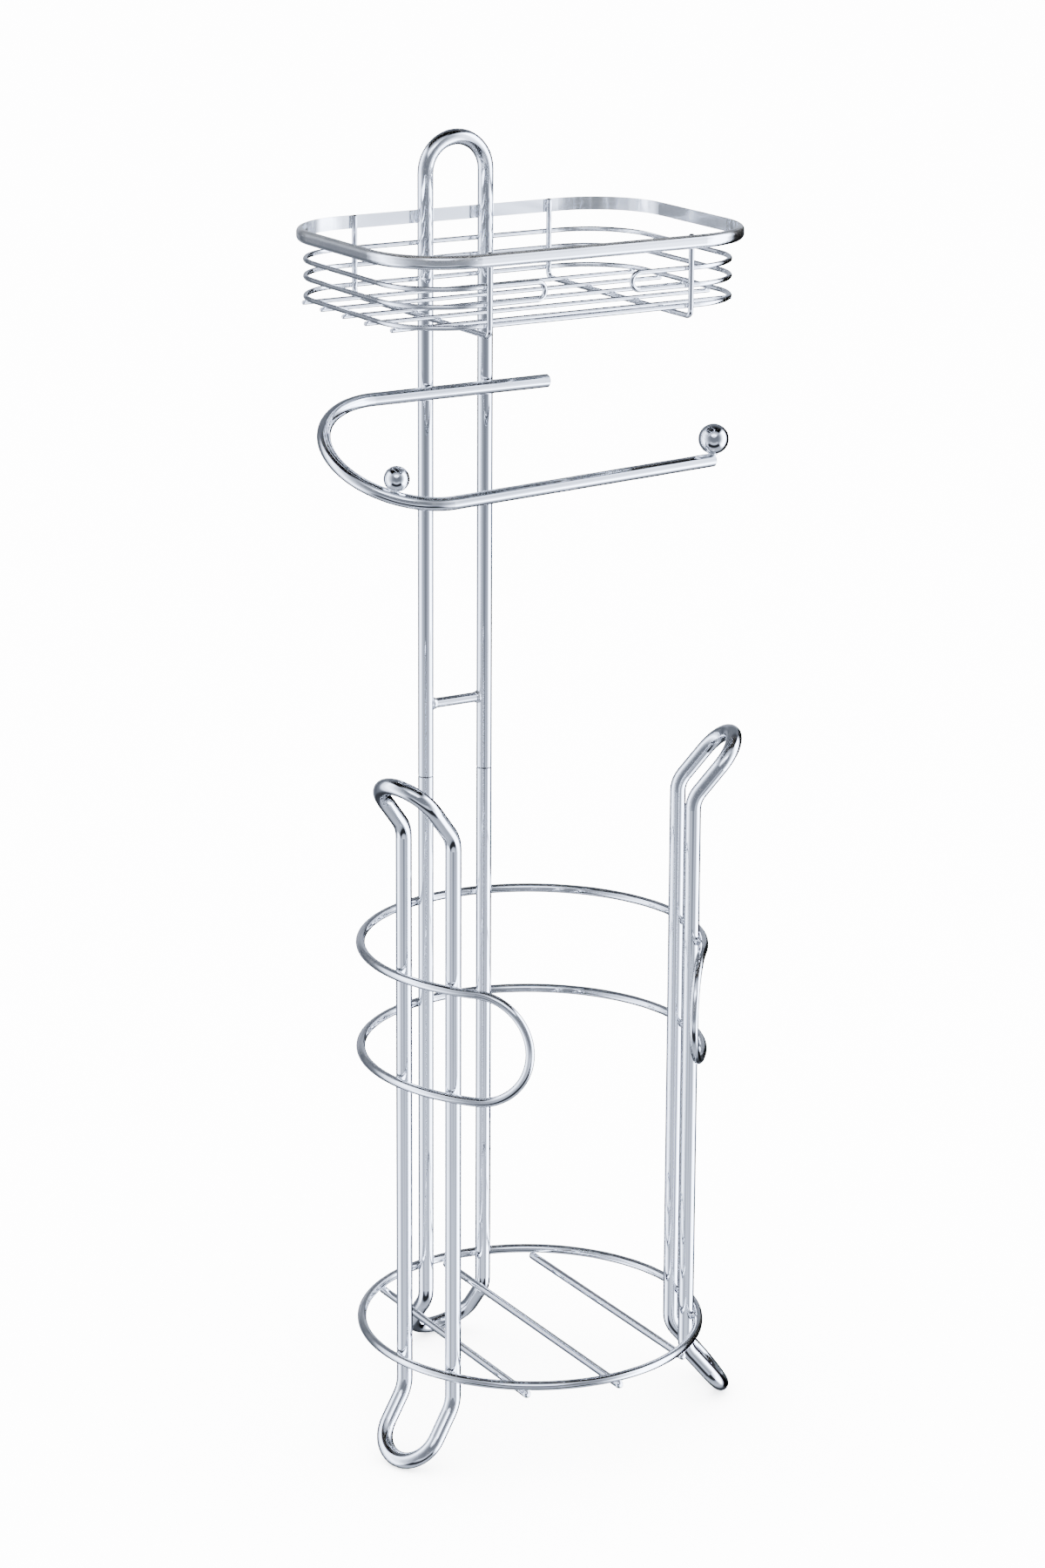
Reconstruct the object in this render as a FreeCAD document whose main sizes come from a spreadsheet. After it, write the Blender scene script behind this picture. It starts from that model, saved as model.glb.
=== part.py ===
import FreeCAD, Part
import Sketcher
import math
import os
import re

# Free-standing toilet paper holder of bent and welded chrome wire. Millimetres, +Z up, -Y to the front.
# The origin is on the floor, under the centre of the low hoop.

SIZES = [
    # Side legs, rear leg and upper frame
    ("tubeDia", 7, "outside of the leg rods and of the upper frame's tube"),
    ("boreDia", 5.1, "bore of the upper frame's tube, a running fit on the pins"),
    ("legGap", 28, "between the two centre lines of a side leg"),
    ("frameGap", 30, "between the two centre lines of the rear leg and the upper frame"),
    ("legAngle", 71, "side leg from the front of the hoop, seen from above"),
    ("legTopCorner", 282, "height where a side leg tilts outward"),
    ("legTopReach", 18.2, "from that corner to the centre of the leg's top bend"),
    ("footReach", 16.6, "from a foot's corner to the centre of its end bend"),
    ("legTilt", 40, "tilt of the leg ends from the vertical"),
    ("bendRadius", 12, "centre line of the tilted bends"),
    ("seamHeight", 277, "top of the rear leg"),
    ("seamGap", 0.3, "gap between the rear leg and the upper frame"),
    ("seamTaper", 0.2, "chamfer at the seams"),
    ("endTaper", 0.5, "chamfer at the cut ends of the arm and of the cross wires"),
    ("frameTop", 547, "centre of the upper frame's top bend"),
    ("rungDia", 4.5, "wire between the two tubes"),
    ("rungHeight", 310, "rung above the floor"),
    ("pinDia", 5, "joining pins"),
    ("pinLength", 40, "joining pins"),
    ("pinDepth", 20, "pin length pressed into the rear leg"),
    ("wireRound", 0.7, "rounding of small cut ends"),
    # Hoop, tray and guard rail
    ("hoopWire", 4, "wire of the hoop and of the guard rail"),
    ("hoopRadius", 75, "centre line of the hoop and of the guard rail"),
    ("hoopHeight", 42, "hoop above the floor"),
    ("barDia", 3.5, "tray bars"),
    ("barPitch", 39.6, "between the tray bars"),
    ("barOverhang", 1.5, "tray bar beyond the hoop's centre line"),
    ("barRound", 1.2, "rounding of the tray bars' ends"),
    ("railHeight", 169.3, "lower arc of the guard rail"),
    ("railSpacing", 48, "between the guard rail's arcs"),
    ("railAngle", 49, "end of the rail's arcs from the front of the hoop"),
    # Roll arm
    ("armDia", 6, "rod of the arm"),
    ("armHeight", 451.8, "arm where it crosses the upper frame"),
    ("armBackEnd", 43.4, "cut end of the back run, to the right of the middle"),
    ("armBendStart", 44.8, "start of the arm's bend, to the left of the middle"),
    ("armForward", 69.1, "from the back run forward to the front run"),
    ("armDrop", 32.4, "from the back run down to the front run"),
    ("armRise", 2.2, "climb of the front run"),
    ("armFrontEnd", 86, "end of the front run, to the right of the middle"),
    ("innerBallDia", 11, "ball on the arm's bend"),
    ("innerBallTurn", 140, "ball's place round the bend from its start"),
    ("outerBallDia", 13.3, "ball on the arm's free end"),
    ("ballSink", 0.4, "depth of the rod's seat in a ball"),
    # Basket
    ("rimHeight", 528, "middle of the rim band"),
    ("rimTall", 5.8, "height of the band"),
    ("rimThick", 2.5, "thickness of the band"),
    ("rimRound", 2.1, "rounding of the band's outside"),
    ("rimHalfWidth", 87.3, "middle of the band's thickness"),
    ("rimFront", 47.5, "middle of the band's thickness, forward of the middle"),
    ("rimCorner", 33.3, "corners of the band"),
    ("sideWireDia", 2.2, "side wire and base hoop"),
    ("sideHalfWidth", 82.55, "centre line of the side wire and base hoop"),
    ("sideFront", 42.75, "the same centre line, forward of the middle"),
    ("sideCorner", 28.6, "its corners"),
    ("sideHeight", 516.5, "upper level of the side wire"),
    ("sideSpacing", 7.3, "between its two levels"),
    ("sideGap", 49.3, "between its two end bends at the front"),
    ("baseHoopHeight", 500.6, "base hoop of the basket"),
    ("floorDia", 2, "floor wires"),
    ("floorFirst", -23.7, "front floor wire"),
    ("floorPitch", 19.25, "between the floor wires"),
    ("floorCount", 5, "floor wires"),
    ("floorOverhang", 2, "floor wire beyond the base hoop's centre line"),
    ("crossDia", 2.4, "cross wires"),
    ("crossPlace", 48.6, "cross wires left and right of the middle"),
    ("crossBend", 3, "centre line of a cross wire's two bends"),
    ("crossProud", 0.3, "cross wire's front end above the rim"),
]

doc = FreeCAD.newDocument("ToiletPaperHolder")
sheet = doc.addObject("Spreadsheet::Sheet", "Sizes")
for row, (alias, number, meaning) in enumerate(SIZES, start=1):
    sheet.set(f"A{row}", alias)
    sheet.set(f"B{row}", str(number))
    sheet.setAlias(f"B{row}", alias)
    sheet.set(f"C{row}", meaning)
doc.recompute()

NAMES = "|".join(alias for alias, number, meaning in SIZES)
RIGHT = FreeCAD.Vector(1, 0, 0)
BACK = FreeCAD.Vector(0, 1, 0)
UP = FreeCAD.Vector(0, 0, 1)
LEFT = -RIGHT
FRONT = -BACK
DOWN = -UP
UNTURNED = FreeCAD.Rotation()
ALONG_X = FreeCAD.Rotation(BACK, 90)
ALONG_Y = FreeCAD.Rotation(RIGHT, -90)
QUARTER_TURN = math.pi / 2
END_FACING = 0.9
sub_parts = []


# Formulas are written with the sheet's aliases, and this puts the sheet's name before each of them.
def formula(text):
    return re.sub(rf"\b({NAMES})\b", r"Sizes.\1", text)


def size(text):
    answer = sheet.evalExpression(formula(text))
    return float(getattr(answer, "Value", answer))


def at(x, y, z):
    return FreeCAD.Vector(size(x), size(y), size(z))


def bind(thing, **formulas):
    for name, text in formulas.items():
        thing.setExpression(name, formula(text))


def keep(thing, label, placement=FreeCAD.Placement()):
    thing.Label = label
    thing.Placement = placement
    sub_parts.append(thing)
    return thing


def primitive(kind, name, placement, **formulas):
    thing = doc.addObject(kind, name)
    bind(thing, **formulas)
    thing.Placement = placement
    return thing


def fuse(name, pieces):
    thing = doc.addObject("Part::MultiFuse", name)
    thing.Shapes = pieces
    thing.Refine = True
    return thing


def cut(name, base, tool):
    thing = doc.addObject("Part::Cut", name)
    thing.Base = base
    thing.Tool = tool
    return thing


# A bent rod or wire: straights and bends laid end to end, each one a primitive bound to the sheet.
class Rod:
    def __init__(self, name, diameter, start, heading):
        self.name = name
        self.radius = f"({diameter})/2"
        self.point = start
        self.heading = heading
        self.pieces = []

    def straight(self, length):
        self.lay("Part::Cylinder", length, Radius=self.radius, Height=length)
        return self

    # Cut ends are chamfered: a rod's first end and its last one.
    def first_end(self, taper):
        self.lay("Part::Cone", taper, Radius1=f"{self.radius} - {taper}", Radius2=self.radius, Height=taper)
        return self

    def last_end(self, taper):
        self.lay("Part::Cone", taper, Radius1=self.radius, Radius2=f"{self.radius} - {taper}", Height=taper)
        return self

    def lay(self, kind, length, **formulas):
        placement = FreeCAD.Placement(self.point, FreeCAD.Rotation(UP, self.heading))
        self.pieces.append(primitive(kind, f"{self.name}_run", placement, **formulas))
        self.point = self.point + self.heading * size(length)

    # A bend turns the rod towards a direction, about a centre on that side.
    def bend(self, radius, degrees, towards):
        side = towards - self.heading * towards.dot(self.heading)
        side.normalize()
        axle = self.heading.cross(side)
        centre = self.point + side * size(radius)
        turned = FreeCAD.Rotation(-side, self.heading, -side.cross(self.heading))
        placement = FreeCAD.Placement(centre, turned)
        self.pieces.append(primitive("Part::Torus", f"{self.name}_bend", placement,
                                     Radius1=radius, Radius2=self.radius, Angle3=degrees))
        turn = FreeCAD.Rotation(axle, size(degrees))
        self.point = centre - turn.multVec(side) * size(radius)
        self.heading = turn.multVec(self.heading)
        return self

    def solid(self):
        return fuse(self.name, self.pieces)


def sketch_on(body, name):
    sketch = body.newObject("Sketcher::SketchObject", name)
    plane = next(item for item in body.Origin.OriginFeatures if item.Role == "XY_Plane")
    sketch.AttachmentSupport = [(plane, "")]
    sketch.MapMode = "FlatFace"
    return sketch


def dimension(sketch, kind, text, *places):
    number = sketch.addConstraint(Sketcher.Constraint(kind, *places, size(text)))
    bind(sketch, **{f"Constraints[{number}]": text})


# A pad to both sides of its sketch, its chosen edges rounded.
def rounded_pad(body, sketch, length, radius, choose_edges):
    pad = body.newObject("PartDesign::Pad", f"{body.Name}_pad")
    pad.Profile = sketch
    pad.Midplane = True
    bind(pad, Length=length)
    doc.recompute()
    chosen = choose_edges(pad.Shape)
    names = [f"Edge{i}" for i, edge in enumerate(pad.Shape.Edges, start=1)
             if any(edge.isSame(other) for other in chosen)]
    rounding = body.newObject("PartDesign::Fillet", f"{body.Name}_rounding")
    rounding.Base = (pad, names)
    bind(rounding, Radius=radius)


# The outer edges of a pad's two flat ends, which face along Z.
def end_outlines(shape):
    ends = [face for face in shape.Faces if abs(face.normalAt(0, 0).z) > END_FACING]
    return [edge for face in ends for edge in face.OuterWire.Edges]


# A straight bar with rounded ends, about its own middle.
def bar(label, diameter, length, middle, direction, rounding="wireRound"):
    body = doc.addObject("PartDesign::Body", label)
    sketch = sketch_on(body, f"{label}_section")
    sketch.addGeometry(Part.Circle(FreeCAD.Vector(), UP, size(diameter) / 2))
    sketch.addConstraint(Sketcher.Constraint("Coincident", 0, 3, -1, 1))
    dimension(sketch, "Diameter", diameter, 0)
    rounded_pad(body, sketch, length, rounding, end_outlines)
    keep(body, label, FreeCAD.Placement(middle, direction))


# Distances worked out from the sheet
WELD_RADIUS = "(hoopRadius - hoopWire/2 - tubeDia/2)"
LEG_PLANE = f"sqrt({WELD_RADIUS}^2 - (legGap/2)^2)"
FRAME_PLANE = f"sqrt({WELD_RADIUS}^2 - (frameGap/2)^2)"
FRAME_BACK = f"({FRAME_PLANE} + tubeDia/2)"
SETBACK = "bendRadius*tan(legTilt/2)"
SIDE_BACK = f"({FRAME_BACK} + sideWireDia/2)"


# Low hoop, and the tray bars welded under it

hoop_place = FreeCAD.Placement(at("0", "0", "hoopHeight"), UNTURNED)
hoop = primitive("Part::Torus", "base_ring", hoop_place, Radius1="hoopRadius", Radius2="hoopWire/2")
keep(hoop, "base_ring", hoop_place)

for side, place in (("left", "(0 - barPitch)"), ("centre", "0"), ("right", "barPitch")):
    half_length = f"sqrt(hoopRadius^2 - {place}^2) + barOverhang"
    middle = at(place, "0", "hoopHeight - hoopWire/2 - barDia/2")
    bar(f"tray_bar_{side}", "barDia", f"2*({half_length})", middle, ALONG_Y, "barRound")


# Legs: hairpins with +X outwards, then turned to their places round the hoop

def foot_corner(gap):
    return f"(tubeDia/2 + (footReach + {gap}/2)*cos(legTilt))"


def foot(rod, gap):
    rod.bend("bendRadius", "legTilt", RIGHT).straight(f"footReach - {SETBACK}")
    rod.bend(f"{gap}/2", "180", BACK).straight(f"footReach - {SETBACK}")
    rod.bend("bendRadius", "legTilt", UP)


def side_leg(label, degrees):
    upright = f"legTopCorner - {foot_corner('legGap')} - 2*{SETBACK}"
    start = at(LEG_PLANE, "legGap/2", f"{foot_corner('legGap')} + {SETBACK}")
    rod = Rod(label, "tubeDia", start, UP).straight(upright)
    rod.bend("bendRadius", "legTilt", RIGHT).straight(f"legTopReach - {SETBACK}")
    rod.bend("legGap/2", "180", FRONT).straight(f"legTopReach - {SETBACK}")
    rod.bend("bendRadius", "legTilt", DOWN).straight(upright)
    foot(rod, "legGap")
    keep(rod.solid(), label, FreeCAD.Placement(FreeCAD.Vector(), FreeCAD.Rotation(UP, degrees)))


side_leg("left_leg", size("0 - 90 - legAngle"))
side_leg("right_leg", size("legAngle - 90"))

# The rear leg is drilled at its two tops for the joining pins.
upright = f"seamHeight - seamTaper - {foot_corner('frameGap')} - {SETBACK}"
rod = Rod("rear_leg_rod", "tubeDia", at(FRAME_PLANE, "0 - frameGap/2", "seamHeight"), DOWN)
rod.first_end("seamTaper").straight(upright)
foot(rod, "frameGap")
rod.straight(upright).last_end("seamTaper")
holes = []
for place in ("0 - frameGap/2", "frameGap/2"):
    bottom = FreeCAD.Placement(at(FRAME_PLANE, place, "seamHeight - pinDepth"), UNTURNED)
    holes.append(primitive("Part::Cylinder", "pin_hole", bottom, Radius="pinDia/2", Height="pinDepth"))
rear_leg = cut("rear_leg", rod.solid(), fuse("pin_holes", holes))
keep(rear_leg, "rear_leg", FreeCAD.Placement(FreeCAD.Vector(), FreeCAD.Rotation(UP, 90)))

for side, place in (("left", "0 - frameGap/2"), ("right", "frameGap/2")):
    middle = at(place, FRAME_PLANE, "seamHeight - pinDepth + pinLength/2")
    bar(f"joining_pin_{side}", "pinDia", "pinLength", middle, UNTURNED)


# Guard rail: two arcs round the back, joined by an upright bend at each front end

end = at("0 - hoopRadius*sin(railAngle)", "0 - hoopRadius*cos(railAngle)", "railHeight")
rod = Rod("guard_rail", "hoopWire", end, FreeCAD.Rotation(UP, -90).multVec(end * (1 / end.Length)))
for turn_back in (UP, DOWN):
    rod.heading.z = 0
    rod.heading.normalize()
    inward = FreeCAD.Vector(-rod.point.x, -rod.point.y, 0)
    rod.bend("hoopRadius", "360 - 2*railAngle", inward)
    rod.bend("railSpacing/2", "180", turn_back)
keep(rod.solid(), "guard_rail")


# Upper frame: a bent tube that drops over the joining pins, and its rung

def frame_run(name, diameter, taper):
    start = at("frameGap/2", FRAME_PLANE, "seamHeight + seamGap")
    rod = Rod(name, diameter, start, UP)
    upright = f"frameTop - seamHeight - seamGap - {taper}"
    if size(taper) > 0:
        rod.first_end(taper)
    rod.straight(upright).bend("frameGap/2", "180", LEFT).straight(upright)
    if size(taper) > 0:
        rod.last_end(taper)
    return rod.solid()


frame_outside = frame_run("frame_outside", "tubeDia", "seamTaper")
keep(cut("upper_frame", frame_outside, frame_run("frame_bore", "boreDia", "0")), "upper_frame")

rung_place = FreeCAD.Placement(at("0 - frameGap/2", FRAME_PLANE, "rungHeight"), ALONG_X)
rung = primitive("Part::Cylinder", "rung_wire", rung_place, Radius="rungDia/2", Height="frameGap")
keep(cut("frame_rung", rung, frame_outside), "frame_rung")


# Roll arm: a back run welded across the frame, a bend forward and down, and a front run that climbs a little

ARM_RADIUS = "(sqrt(armForward^2 + armDrop^2)/2)"
start = at("armBackEnd", f"{FRAME_PLANE} - tubeDia/2 - armDia/2", "armHeight")
rod = Rod("roll_arm", "armDia", start, LEFT)
rod.first_end("endTaper").straight("armBackEnd + armBendStart - endTaper")
rod.bend(ARM_RADIUS, "innerBallTurn", at("0", "0 - armForward", "0 - armDrop"))
inner_ball_spot = (rod.point, rod.heading)
rod.bend(ARM_RADIUS, "180 - innerBallTurn", RIGHT)
rod.bend(ARM_RADIUS, "armRise", UP)
rod.straight(f"(armFrontEnd + armBendStart - {ARM_RADIUS}*sin(armRise))/cos(armRise) - endTaper")
rod.last_end("endTaper")
outer_ball_spot = (rod.point, rod.heading)
roll_arm = keep(rod.solid(), "roll_arm")


# A ball welded on top of the arm, seated round the rod
def stop_ball(label, diameter, spot):
    point, heading = spot
    upward = UP - heading * UP.dot(heading)
    upward.normalize()
    centre = point + upward * size(f"armDia/2 + {diameter}/2 - ballSink")
    placement = FreeCAD.Placement(centre, UNTURNED)
    ball = primitive("Part::Sphere", f"{label}_whole", placement, Radius=f"{diameter}/2")
    keep(cut(label, ball, roll_arm), label)


stop_ball("inner_stop_ball", "innerBallDia", inner_ball_spot)
stop_ball("outer_stop_ball", "outerBallDia", outer_ball_spot)


# Basket rim: a band with a flat inside, its back against the frame's tubes

def rim_outline(sketch, grow):
    half_width = f"rimHalfWidth + {grow}"
    front = f"rimFront + {grow}"
    back = f"{FRAME_BACK} + rimThick/2 + {grow}"
    corner = f"rimCorner + {grow}"
    radius = size(corner)
    x = size(half_width) - radius
    y_front = radius - size(front)
    y_back = size(back) - radius
    centres = ((x, y_front), (x, y_back), (-x, y_back), (-x, y_front))
    arcs = []
    for number, (across, along) in enumerate(centres):
        circle = Part.Circle(FreeCAD.Vector(across, along, 0), UP, radius)
        arc = Part.ArcOfCircle(circle, (number - 1) * QUARTER_TURN, number * QUARTER_TURN)
        arcs.append(sketch.addGeometry(arc))
    lines = []
    for number in range(4):
        first = sketch.Geometry[arcs[number]].EndPoint
        last = sketch.Geometry[arcs[(number + 1) % 4]].StartPoint
        lines.append(sketch.addGeometry(Part.LineSegment(first, last)))
    for number in range(4):
        sketch.addConstraint(Sketcher.Constraint("Tangent", arcs[number], 2, lines[number], 1))
        sketch.addConstraint(Sketcher.Constraint("Tangent", lines[number], 2, arcs[(number + 1) % 4], 1))
        dimension(sketch, "Radius", corner, arcs[number])
    right, rear, left, fore = lines
    for line in (right, left):
        sketch.addConstraint(Sketcher.Constraint("Vertical", line))
    for line in (rear, fore):
        sketch.addConstraint(Sketcher.Constraint("Horizontal", line))
    dimension(sketch, "DistanceX", half_width, -1, 1, right, 1)
    dimension(sketch, "DistanceX", half_width, left, 1, -1, 1)
    dimension(sketch, "DistanceY", back, -1, 1, rear, 1)
    dimension(sketch, "DistanceY", front, fore, 1, -1, 1)


rim = doc.addObject("PartDesign::Body", "basket_rim")
rim_sketch = sketch_on(rim, "basket_rim_outlines")
rim_outline(rim_sketch, "rimThick/2")
rim_outline(rim_sketch, "(0 - rimThick/2)")
rounded_pad(rim, rim_sketch, "rimTall", "rimRound", end_outlines)
keep(rim, "basket_rim", FreeCAD.Placement(at("0", "0", "rimHeight"), UNTURNED))


# Basket side wire and base hoop: laps with four corners, open or closed at the front

def lap(rod, gap, across):
    front_run = f"sideHalfWidth - sideCorner - {gap}/2"
    side_run = f"{SIDE_BACK} + sideFront - 2*sideCorner"
    rod.straight(front_run).bend("sideCorner", "90", BACK)
    rod.straight(side_run).bend("sideCorner", "90", -across)
    rod.straight("2*(sideHalfWidth - sideCorner)").bend("sideCorner", "90", FRONT)
    rod.straight(side_run).bend("sideCorner", "90", across).straight(front_run)


rod = Rod("basket_side_wire", "sideWireDia", at("0 - sideGap/2", "0 - sideFront", "sideHeight"), LEFT)
lap(rod, "sideGap", LEFT)
rod.bend("sideSpacing/2", "180", DOWN)
lap(rod, "sideGap", RIGHT)
rod.bend("sideSpacing/2", "180", UP)
keep(rod.solid(), "basket_side_wire")

rod = Rod("basket_base_hoop", "sideWireDia", at("0", "0 - sideFront", "baseHoopHeight"), LEFT)
lap(rod, "0", LEFT)
keep(rod.solid(), "basket_base_hoop")


# Floor wires across the bottom of the base hoop, and cross wires under them

for number in range(int(size("floorCount"))):
    along = f"(floorFirst + {number}*floorPitch)"
    into_front = f"(sideCorner - sideFront - {along})"
    into_back = f"({along} - {SIDE_BACK} + sideCorner)"
    reach = f"sqrt(sideCorner^2 - max(0; {into_front}; {into_back})^2)"
    half_length = f"sideHalfWidth - sideCorner + {reach} + floorOverhang"
    middle = at("0", along, "baseHoopHeight - sideWireDia/2 - floorDia/2")
    bar(f"basket_floor_wire_{number + 1}", "floorDia", f"2*({half_length})", middle, ALONG_X)

CROSS_TOP = "(rimHeight + rimTall/2 + crossProud)"
CROSS_LOW = "(baseHoopHeight - sideWireDia/2 - floorDia - crossDia/2)"
CROSS_FRONT = "(rimFront - rimThick/2 - crossDia/2)"
CROSS_BACK = f"({FRAME_BACK} - crossDia/2)"
for side, place in (("left", "0 - crossPlace"), ("right", "crossPlace")):
    label = f"basket_cross_wire_{side}"
    upright = f"{CROSS_TOP} - {CROSS_LOW} - crossBend - endTaper"
    rod = Rod(label, "crossDia", at(place, f"0 - {CROSS_FRONT}", CROSS_TOP), DOWN)
    rod.first_end("endTaper").straight(upright).bend("crossBend", "90", BACK)
    rod.straight(f"{CROSS_FRONT} + {CROSS_BACK} - 2*crossBend")
    rod.bend("crossBend", "90", UP).straight(upright).last_end("endTaper")
    keep(rod.solid(), label)


# Every object is checked before anything is written.
doc.recompute()
for thing in doc.Objects:
    if "Invalid" in thing.State or "Error" in thing.State:
        raise RuntimeError(f"{thing.Name} failed: {thing.State}")
for thing in sub_parts:
    if thing.Shape.isNull() or not thing.Shape.isValid() or len(thing.Shape.Solids) != 1:
        raise RuntimeError(f"{thing.Label} has no single valid solid")

os.makedirs("parts", exist_ok=True)
for thing in sub_parts:
    thing.Shape.exportStep(f"parts/{thing.Label}.step")
    box = thing.Shape.BoundBox
    print(f"{thing.Label}: {thing.Shape.Volume:.0f} mm3, z {box.ZMin:.1f} to {box.ZMax:.1f}")
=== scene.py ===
import bpy
import math
from mathutils import Matrix, Vector


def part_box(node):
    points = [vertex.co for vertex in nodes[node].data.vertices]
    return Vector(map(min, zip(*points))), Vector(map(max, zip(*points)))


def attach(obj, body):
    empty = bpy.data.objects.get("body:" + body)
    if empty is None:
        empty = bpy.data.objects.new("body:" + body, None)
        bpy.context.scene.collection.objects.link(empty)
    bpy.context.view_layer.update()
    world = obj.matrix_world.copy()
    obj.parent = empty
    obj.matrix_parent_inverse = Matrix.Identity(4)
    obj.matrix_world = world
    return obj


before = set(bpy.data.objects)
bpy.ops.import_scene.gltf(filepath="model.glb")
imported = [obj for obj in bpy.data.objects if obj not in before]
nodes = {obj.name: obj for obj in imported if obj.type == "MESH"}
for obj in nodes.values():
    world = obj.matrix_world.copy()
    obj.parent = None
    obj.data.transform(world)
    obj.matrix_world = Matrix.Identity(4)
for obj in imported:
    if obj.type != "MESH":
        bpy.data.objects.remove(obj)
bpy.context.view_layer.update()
bpy.ops.object.select_all(action="DESELECT")
print("frame loaded:", len(nodes), "nodes")


# A socket that takes part in plain Python maths, adding its Math nodes as it goes
class Wire:
    def __init__(self, shader, socket):
        self.shader = shader
        self.socket = socket

    def maths(self, operation, *values):
        return self.shader.node("ShaderNodeMath", {"operation": operation}, *values)

    def __add__(self, other):
        return self.maths("ADD", self, other)

    def __sub__(self, other):
        return self.maths("SUBTRACT", self, other)

    def __rsub__(self, other):
        return self.maths("SUBTRACT", other, self)

    def __mul__(self, other):
        return self.maths("MULTIPLY", self, other)

    def __truediv__(self, other):
        return self.maths("DIVIDE", self, other)

    def __rtruediv__(self, other):
        return self.maths("DIVIDE", other, self)

    def __pow__(self, other):
        return self.maths("POWER", self, other)

    def __rpow__(self, other):
        return self.maths("POWER", other, self)

    def clamped(self):
        return self.maths("MAXIMUM", self.maths("MINIMUM", self, 1.0), 0.0)

    __radd__ = __add__
    __rmul__ = __mul__


def fillRamp(ramp, stops):
    places, tones = zip(*sorted(stops))
    ramp.interpolation = "EASE"
    ramp.elements[0].position = places[0]
    ramp.elements[-1].position = places[-1]
    for place in places[1:-1]:
        ramp.elements.new(place)
    for element, tone in zip(ramp.elements, tones):
        element.color = (tone, tone, tone, 1.0)


class Shader:
    def __init__(self, tree):
        self.tree = tree
        tree.nodes.clear()

    # Settings go on first, then each socket takes a value or a wire. The wanted output comes back as a wire.
    def node(self, kind, settings=None, *values, output=0, **named):
        made = self.tree.nodes.new(kind)
        for name, value in (settings or {}).items():
            if name == "stops":
                fillRamp(made.color_ramp, value)
            else:
                setattr(made, name, value)
        sockets = dict(enumerate(values))
        sockets.update({name.replace("_", " "): value for name, value in named.items()})
        for place, value in sockets.items():
            if isinstance(value, Wire):
                self.tree.links.new(value.socket, made.inputs[place])
            elif value is not None:
                made.inputs[place].default_value = value
        if made.outputs:
            return Wire(self, made.outputs[output])

    # A Mix node keeps its two colours behind five sockets for numbers and vectors
    def blendColours(self, share, *colours):
        skipped = [None] * 5
        opaque = [(*colour, 1.0) for colour in colours]
        return self.node("ShaderNodeMix", {"data_type": "RGBA"}, share, *skipped, *opaque, output=2)


# The plating. Soft smudges and small flecks dull it, and a very low ripple bends what it mirrors.
plating = {
    "tint": (0.85, 0.862, 0.89),
    "dulledTo": 0.93,
    "smudgeFrom": 0.48,
    "smudgeSharpness": 5.0,
    "smudgeStain": 0.35,
    "smudgeDetail": 4.0,
    "fleckFineness": 14,
    "fleckFrom": 0.66,
    "fleckSharpness": 12.0,
    "fleckRough": 0.06,
    "fleckStain": 0.3,
    "fleckDetail": 2.0,
    "rippleDetail": 1.0,
    "rippleHeight": 0.0004,
}

# How finely the metal was finished before it was plated. The pins are dull steel, darkened to paint shade into
# the seams.
finishes = {
    "tubes": {"rough": 0.035, "smudge": 0.04, "smudgeSize": 28.0, "ripple": 0.008, "rippleSize": 60.0},
    "wires": {"rough": 0.05, "smudge": 0.04, "smudgeSize": 60.0, "ripple": 0.015, "rippleSize": 120.0},
    "band": {"tint": (0.87, 0.882, 0.91), "rough": 0.12, "smudge": 0.04, "smudgeSize": 40.0, "ripple": 0.02,
             "rippleSize": 90.0},
    "balls": {"rough": 0.015, "smudge": 0.03, "smudgeSize": 70.0, "ripple": 0.0, "rippleSize": 100.0},
    # the pins' dark tint is partly their steel and partly painted shade in the seams between tube pieces
    "pins": {"tint": (0.2, 0.19, 0.18), "rough": 0.3, "smudge": 0.15, "smudgeSize": 150.0, "ripple": 0.05,
             "rippleSize": 300.0},
    "welds": {"rough": 0.10, "smudge": 0.12, "smudgeSize": 400.0, "ripple": 0.25, "rippleSize": 600.0},
}


def chromeMaterial(name):
    finish = {**plating, **finishes[name]}
    material = bpy.data.materials.new("chrome" + name.capitalize())
    material.use_nodes = True
    shader = Shader(material.node_tree)
    place = shader.node("ShaderNodeTexCoord", output="Object")

    def noise(size, detail):
        return shader.node("ShaderNodeTexNoise", Vector=place, Scale=size, Detail=detail)

    cloud = noise(finish["smudgeSize"], finish["smudgeDetail"])
    speck = noise(finish["smudgeSize"] * finish["fleckFineness"], finish["fleckDetail"])
    smudge = ((cloud - finish["smudgeFrom"]) * finish["smudgeSharpness"]).clamped()
    fleck = ((speck - finish["fleckFrom"]) * finish["fleckSharpness"]).clamped()
    stain = smudge * finish["smudgeStain"] + fleck * finish["fleckStain"]
    dulled = [value * finish["dulledTo"] for value in finish["tint"]]
    colour = shader.blendColours(stain, finish["tint"], dulled)
    roughness = smudge * finish["smudge"] + fleck * finish["fleckRough"] + finish["rough"]
    wave = noise(finish["rippleSize"], finish["rippleDetail"])
    bump = shader.node("ShaderNodeBump", Strength=finish["ripple"], Distance=finish["rippleHeight"],
                       Height=wave)
    metal = shader.node("ShaderNodeBsdfPrincipled", Base_Color=colour, Metallic=1.0, Roughness=roughness,
                        Normal=bump)
    shader.node("ShaderNodeOutputMaterial", Surface=metal)
    return material


materials = {name: chromeMaterial(name) for name in finishes}

# Words in a node's name that give its finish. Every other node is a wire.
finishWords = {
    "tubes": ("leg", "upper_frame", "roll_arm"),
    "pins": ("joining_pin",),
    "band": ("rim",),
    "balls": ("ball",),
}
for name, piece in nodes.items():
    finish = next((key for key, words in finishWords.items() if any(word in name for word in words)), "wires")
    piece.data.materials.clear()
    piece.data.materials.append(materials[finish])
print("chrome on every node")


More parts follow.
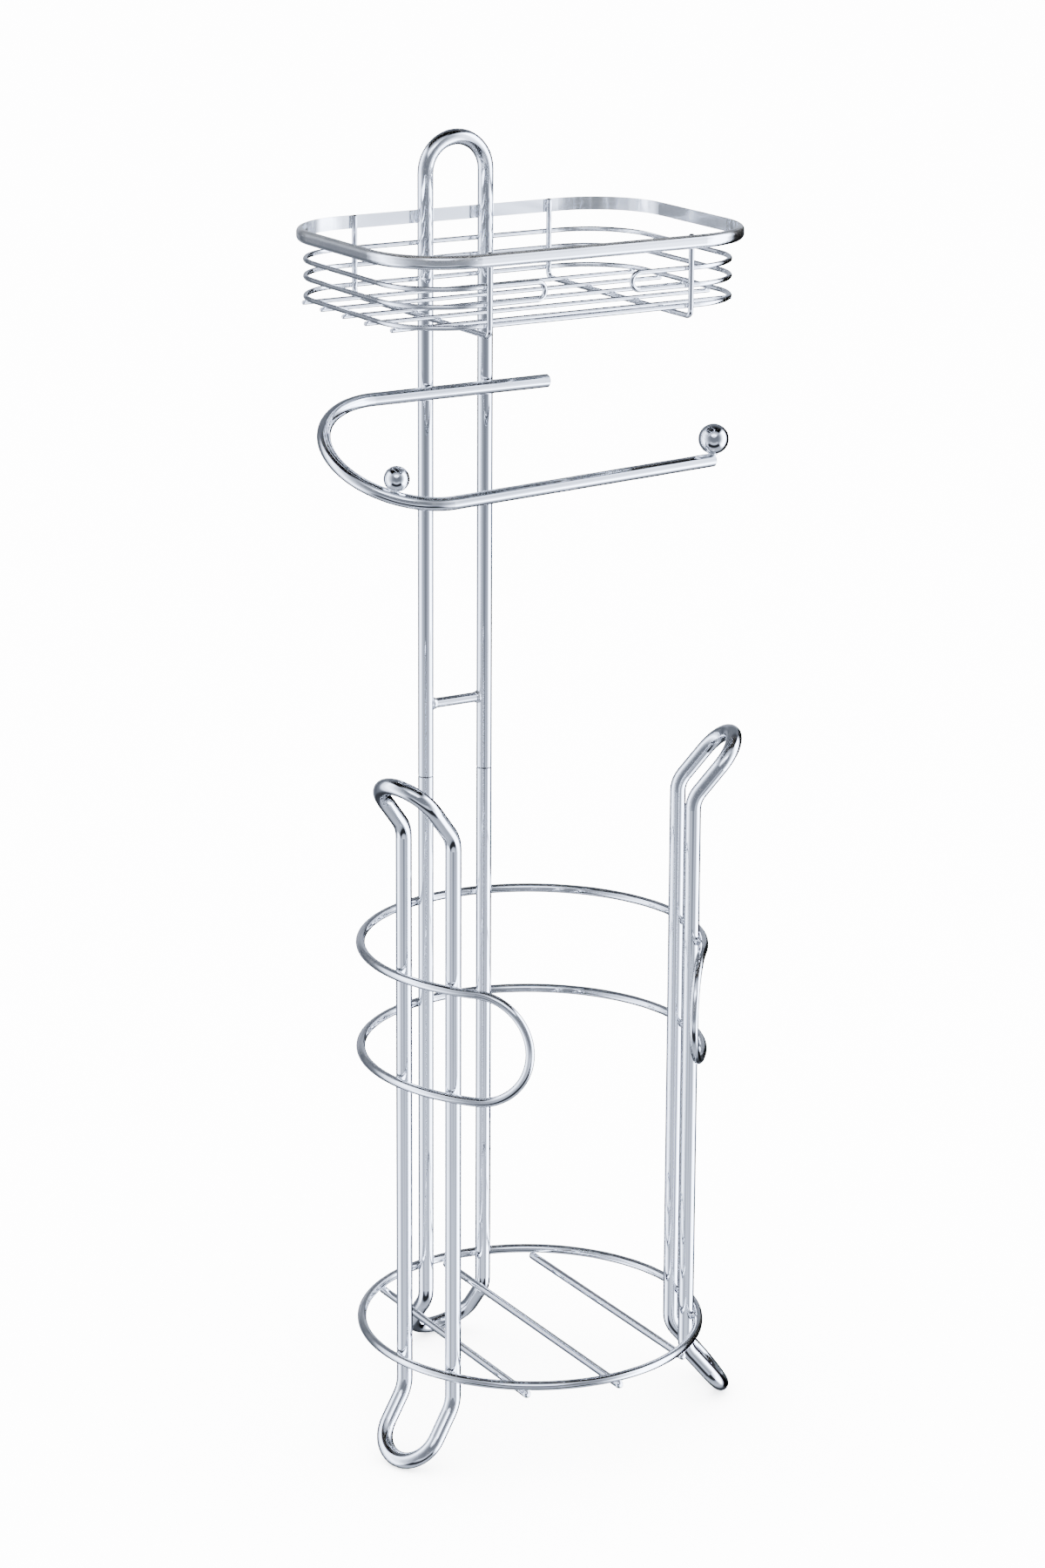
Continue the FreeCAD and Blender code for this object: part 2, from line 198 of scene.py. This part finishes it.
# Weld beads, in millimetres. A bead is a stack of oval rings that starts inside one rod and ends inside the
# other: height above the touching point, reach along the first rod, reach across it.
beads = {
    "rod": ((-1.0, 2.5, 1.9), (-0.5, 2.2, 1.75), (-0.15, 1.7, 1.55), (0.2, 1.55, 1.75), (0.6, 1.6, 2.3),
            (1.2, 1.6, 2.7)),
    "bar": ((-0.9, 1.5, 1.3), (-0.4, 1.45, 1.25), (0.0, 1.3, 1.25), (0.4, 1.3, 1.7), (0.9, 1.3, 2.1)),
    "arm": ((-1.2, 2.6, 1.9), (-0.6, 2.3, 1.8), (0.0, 1.8, 1.8), (0.6, 1.8, 2.3), (1.2, 1.9, 2.6)),
    "wire": ((-0.6, 1.15, 0.65), (-0.25, 0.95, 0.65), (0.0, 0.7, 0.68), (0.25, 0.65, 0.95),
             (0.6, 0.65, 1.15)),
    "band": ((-0.7, 1.9, 0.75), (-0.3, 1.6, 0.75), (0.0, 1.35, 1.0), (0.1, 1.5, 1.4), (0.3, 1.6, 1.5)),
    "tubeToBand": ((-1.0, 2.4, 1.9), (-0.4, 2.1, 1.8), (0.0, 1.9, 2.0), (0.1, 2.1, 2.3), (0.3, 2.2, 2.4)),
    "ball": ((-0.9, 2.4, 1.8), (-0.4, 2.2, 1.75), (0.1, 1.9, 1.8), (0.5, 2.2, 2.2), (1.0, 2.6, 2.6)),
    "butt": ((-1.8, 2.2, 2.2), (-1.5, 2.45, 2.45), (-1.0, 2.8, 2.75), (-0.5, 2.75, 2.7), (-0.1, 3.0, 2.85),
             (0.5, 3.3, 2.9)),
}
beadMesh = {"sides": 14, "rounding": 1}
mm = 0.001


# One bead is raised from a ring by extruding and resizing it, and then rounded off
def modelBead(name, rings):
    height, along, across = rings[0]
    bpy.ops.object.select_all(action="DESELECT")
    bpy.ops.mesh.primitive_circle_add(vertices=beadMesh["sides"], radius=mm, fill_type="NGON",
                                      location=(0, 0, 0))
    bead = bpy.context.object
    bead.name = name + "Bead"
    bpy.ops.object.mode_set(mode="EDIT")
    bpy.ops.mesh.select_all(action="SELECT")
    bpy.ops.transform.resize(value=(along, across, 1))
    bpy.ops.transform.translate(value=(0, 0, height * mm))
    for below, ring in zip(rings, rings[1:]):
        rise = (ring[0] - below[0]) * mm
        spread = (ring[1] / below[1], ring[2] / below[2], 1)
        bpy.ops.mesh.extrude_region_move(TRANSFORM_OT_translate={"value": (0, 0, rise)})
        bpy.ops.transform.resize(value=spread, center_override=(0, 0, ring[0] * mm))
    bpy.ops.mesh.select_all(action="SELECT")
    bpy.ops.mesh.normals_make_consistent(inside=False)
    bpy.ops.object.mode_set(mode="OBJECT")
    rounding = bead.modifiers.new("rounding", "SUBSURF")
    rounding.levels = beadMesh["rounding"]
    rounding.render_levels = beadMesh["rounding"]
    bpy.ops.object.modifier_apply(modifier="rounding")
    bpy.ops.object.shade_smooth()
    return bead


seeds = {name: modelBead(name, rings) for name, rings in beads.items()}


# Copies of a bead, each turned to its own touching point, joined into one piece that moves with its body.
# A place is the kind of bead, the point, the way from the first rod to the second, and the way along the first.
def weldPiece(name, body, places):
    copies = []
    for kind, point, normal, along in places:
        normal = Vector(normal).normalized()
        along = Vector(along)
        along = (along - normal * along.dot(normal)).normalized()
        across = normal.cross(along)
        turned = Matrix((along, across, normal)).transposed().to_4x4()
        mesh = seeds[kind].data.copy()
        mesh.transform(Matrix.Translation(point) @ turned)
        copy = bpy.data.objects.new(name, mesh)
        bpy.context.scene.collection.objects.link(copy)
        copies.append(copy)
    bpy.ops.object.select_all(action="DESELECT")
    for copy in copies:
        copy.select_set(True)
    bpy.context.view_layer.objects.active = copies[0]
    bpy.ops.object.join()
    piece = copies[0]
    piece.name = name
    piece.data.materials.clear()
    piece.data.materials.append(materials["welds"])
    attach(piece, body)


def middle(name):
    low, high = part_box(name)
    return (low + high) / 2


up, back, rightward = Vector((0, 0, 1)), Vector((0, 1, 0)), Vector((1, 0, 0))
sides = (-1, 1)

# The base: hoop and guard rail are welded outside the six upright rods, and the tray bars under the hoop
base = {
    "legAngle": 71.0,  # degrees from the front to the middle of each side leg
    "legHalfGap": 0.014,  # metres from there to either of its rods
}
hoopLow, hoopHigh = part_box("base_ring")
railLow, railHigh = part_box("guard_rail")
frameLow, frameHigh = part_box("upper_frame")
wireRadius = (hoopHigh.z - hoopLow.z) / 2
tubeRadius = (frameHigh.y - frameLow.y) / 2
hoopRadius = hoopHigh.x - wireRadius
weldRadius = hoopRadius - wireRadius  # where the rods touch the inside of the hoop
tubeX = frameHigh.x - tubeRadius

legOffset = math.degrees(math.asin(base["legHalfGap"] / (weldRadius - tubeRadius)))
rearOffset = math.degrees(math.asin(tubeX / (weldRadius - tubeRadius)))
rodAngles = [side * base["legAngle"] + offset for side in sides for offset in (-legOffset, legOffset)]
rodAngles += [180 - rearOffset, 180 + rearOffset]


def rodWelds(height):
    places = []
    for angleFromFront in rodAngles:
        bearing = math.radians(angleFromFront)
        outward = Vector((math.sin(bearing), -math.cos(bearing), 0))
        places.append(("rod", outward * weldRadius + up * height, outward, up))
    return places


weldPiece("hoopWelds", "base", rodWelds((hoopLow.z + hoopHigh.z) / 2))
weldPiece("railWelds", "base", rodWelds(railLow.z + wireRadius) + rodWelds(railHigh.z - wireRadius))

trayPlaces = []
for name in ("left", "centre", "right"):
    x = middle("tray_bar_" + name).x
    y = math.sqrt(hoopRadius ** 2 - x ** 2)
    trayPlaces += [("bar", Vector((x, side * y, hoopLow.z)), up, back) for side in sides]
weldPiece("trayWelds", "base", trayPlaces)

# The roll arm across the upper frame, the two balls on it, and the rung between the tubes
arm = {"rodRadius": 0.003}  # metres
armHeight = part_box("roll_arm")[1].z - arm["rodRadius"]
armSurface = [vertex.co.copy() for vertex in nodes["roll_arm"].data.vertices]
armPlaces = [("arm", Vector((side * tubeX, frameLow.y, armHeight)), back, rightward) for side in sides]
for name in ("inner_stop_ball", "outer_stop_ball"):
    low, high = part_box(name)
    centre = Vector(((low.x + high.x) / 2, (low.y + high.y) / 2, high.z - (high.x - low.x) / 2))
    nearest = min(armSurface, key=lambda co: (co - centre).length)
    armPlaces.append(("ball", nearest, centre - nearest, rightward))
rung = middle("frame_rung")
for side in sides:
    armPlaces.append(("butt", Vector((side * (tubeX - tubeRadius), rung.y, rung.z)), rightward * side, up))
weldPiece("armWelds", "mast", armPlaces)

# The basket: floor wires on its bottom hoop and cross wires, then hoops and rim on the cross wires and tubes
basket = {"floorOverhang": 0.002}  # metres that a floor wire runs past the hoop's centre line
crossNames = ("basket_cross_wire_left", "basket_cross_wire_right")
floorNames = sorted(name for name in nodes if name.startswith("basket_floor_wire"))
floorPlaces = []
for name in floorNames:
    low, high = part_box(name)
    y = (low.y + high.y) / 2
    reach = high.x - basket["floorOverhang"]
    floorPlaces += [("wire", Vector((side * reach, y, high.z)), up, rightward) for side in sides]
    floorPlaces += [("wire", Vector((middle(cross).x, y, low.z)), up, back) for cross in crossNames]
weldPiece("basketFloorWelds", "mast", floorPlaces)

sideLow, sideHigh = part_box("basket_side_wire")
bottomLow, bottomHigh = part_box("basket_base_hoop")
sideRadius = (bottomHigh.z - bottomLow.z) / 2
levels = (sideHigh.z - sideRadius, sideLow.z + sideRadius, bottomLow.z + sideRadius)
rimHeight = middle("basket_rim").z
wallPlaces = []
for name in crossNames:
    low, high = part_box(name)
    x = (low.x + high.x) / 2
    thickness = high.x - low.x
    for y in (low.y + thickness, high.y):
        wallPlaces += [("wire", Vector((x, y, level)), back, up) for level in levels]
    wallPlaces.append(("band", Vector((x, low.y, rimHeight)), -back, up))
    wallPlaces.append(("band", Vector((x, high.y, rimHeight)), back, up))
for side in sides:
    wallPlaces += [("wire", Vector((side * tubeX, frameHigh.y, level)), back, up) for level in levels]
    wallPlaces.append(("tubeToBand", Vector((side * tubeX, frameHigh.y, rimHeight)), back, up))
weldPiece("basketWallWelds", "mast", wallPlaces)
for seed in seeds.values():
    bpy.data.objects.remove(seed)
print("welds laid")


# A long lens at the front left, a little above the stand
viewpoint = {
    "place": (-0.8807, -1.4716, 0.7958),
    "turn": 29.53,  # degrees to the right of the back
    "tilt": 13.22,  # degrees down
    "lens": 94.7,
    "shift": (0.0538, -0.15),
}
turn = math.radians(viewpoint["turn"])
tilt = math.radians(viewpoint["tilt"])
lookAlong = Vector((math.sin(turn) * math.cos(tilt), math.cos(turn) * math.cos(tilt), -math.sin(tilt)))
cameraData = bpy.data.cameras.new("camera")
cameraData.lens = viewpoint["lens"]
cameraData.shift_x, cameraData.shift_y = viewpoint["shift"]
camera = bpy.data.objects.new("camera", cameraData)
camera.location = viewpoint["place"]
camera.rotation_euler = lookAlong.to_track_quat("-Z", "Y").to_euler()
bpy.context.scene.collection.objects.link(camera)
bpy.context.scene.camera = camera
print("camera placed")


# The floor is matt white, and the chrome doesn't mirror it
ground = {"size": 60.0, "colour": (0.93, 0.93, 0.935, 1.0), "rough": 0.9}
bpy.ops.mesh.primitive_plane_add(size=ground["size"], location=(0, 0, 0))
floor = bpy.context.object
floor.name = "floor"
floor.visible_glossy = False
paint = bpy.data.materials.new("floorPaint")
paint.use_nodes = True
shader = Shader(paint.node_tree)
matt = shader.node("ShaderNodeBsdfPrincipled", Base_Color=ground["colour"], Roughness=ground["rough"])
shader.node("ShaderNodeOutputMaterial", Surface=matt)
floor.data.materials.append(paint)
print("floor laid")


# The studio's lamps and flags are painted round the sky, and only the chrome sees them: the floor and the
# camera see a plain white backdrop. Each side of the sky is a list of angles from the backdrop's middle, in
# degrees, with a tone at each: 0 is a black flag and 1 the face of a lamp.
sky = {
    "backdrop": 16.0,
    "backdropColour": (1.0, 1.0, 1.0, 1.0),
    "lampPower": 12.0,
    "lampColour": (0.81, 0.90, 1.1, 1.0),
    "contrast": 3.0,
    "sidewaysBlend": 4,  # how fast left turns into right, down into up, and both pairs into each other
    "heightBlend": 5,
    "cornerBlend": 4,
    "right": ((0, 0.2), (26, 0.14), (37, 0.05), (60, 0.07), (69, 0.5), (81, 1.0), (104, 1.0), (117, 0.66),
              (129, 0.41), (139, 0.32), (150, 0.28), (180, 0.28)),
    "left": ((0, 0.36), (28, 0.33), (42, 0.24), (57, 0.28), (74, 0.62), (92, 0.79), (105, 0.68), (118, 0.52),
             (129, 0.42), (139, 0.34), (150, 0.3), (162, 0.28), (180, 0.28)),
    "up": ((0, 0.38), (28, 0.36), (42, 0.26), (62, 0.26), (82, 0.18), (94, 0.04), (116, 0.04), (126, 0.34),
           (143, 0.5), (154, 0.82), (168, 0.55), (180, 0.28)),
    "down": ((0, 0.3), (28, 0.26), (38, 0.16), (54, 0.2), (64, 0.36), (80, 0.42), (100, 0.38), (112, 0.14),
             (124, 0.14), (133, 0.42), (142, 0.48), (151, 0.3), (180, 0.28)),
}
tiny = 0.0001  # keeps the middle of the backdrop from dividing by nothing

world = bpy.data.worlds.new("studio")
bpy.context.scene.world = world
world.use_nodes = True
shader = Shader(world.node_tree)
direction = shader.node("ShaderNodeTexCoord", output="Generated")


def alongAxis(axis):
    dot = {"operation": "DOT_PRODUCT"}
    return shader.node("ShaderNodeVectorMath", dot, direction, tuple(axis), output="Value")


sideAxis = Vector((math.cos(turn), -math.sin(turn), 0))
nearness = (alongAxis(lookAlong) + 1) / 2  # 1 at the backdrop's middle, 0 straight behind the camera
aside = alongAxis(sideAxis)
above = alongAxis(sideAxis.cross(lookAlong))


def skyTone(way):
    stops = [((math.cos(math.radians(degrees)) + 1) / 2, tone) for degrees, tone in sky[way]]
    return shader.node("ShaderNodeValToRGB", {"stops": stops}, nearness)


def stepped(value, steepness):
    return (value * steepness + 0.5).clamped()


def between(low, high, share):
    return low * (1 - share) + high * share


sideTone = between(skyTone("left"), skyTone("right"), stepped(aside, sky["sidewaysBlend"]))
heightTone = between(skyTone("down"), skyTone("up"), stepped(above, sky["heightBlend"]))
sideShare = aside * aside / (aside * aside + above * above + tiny)
tone = between(heightTone, sideTone, stepped(sideShare - 0.5, sky["cornerBlend"]))
lampGlow = tone ** sky["contrast"] * sky["lampPower"]
lamps = shader.node("ShaderNodeBackground", Color=sky["lampColour"], Strength=lampGlow)
backdrop = shader.node("ShaderNodeBackground", Color=sky["backdropColour"], Strength=sky["backdrop"])
mirrored = shader.node("ShaderNodeLightPath", output="Is Glossy Ray")
surroundings = shader.node("ShaderNodeMixShader", None, mirrored, backdrop, lamps)
shader.node("ShaderNodeOutputWorld", Surface=surroundings)
print("studio lit")
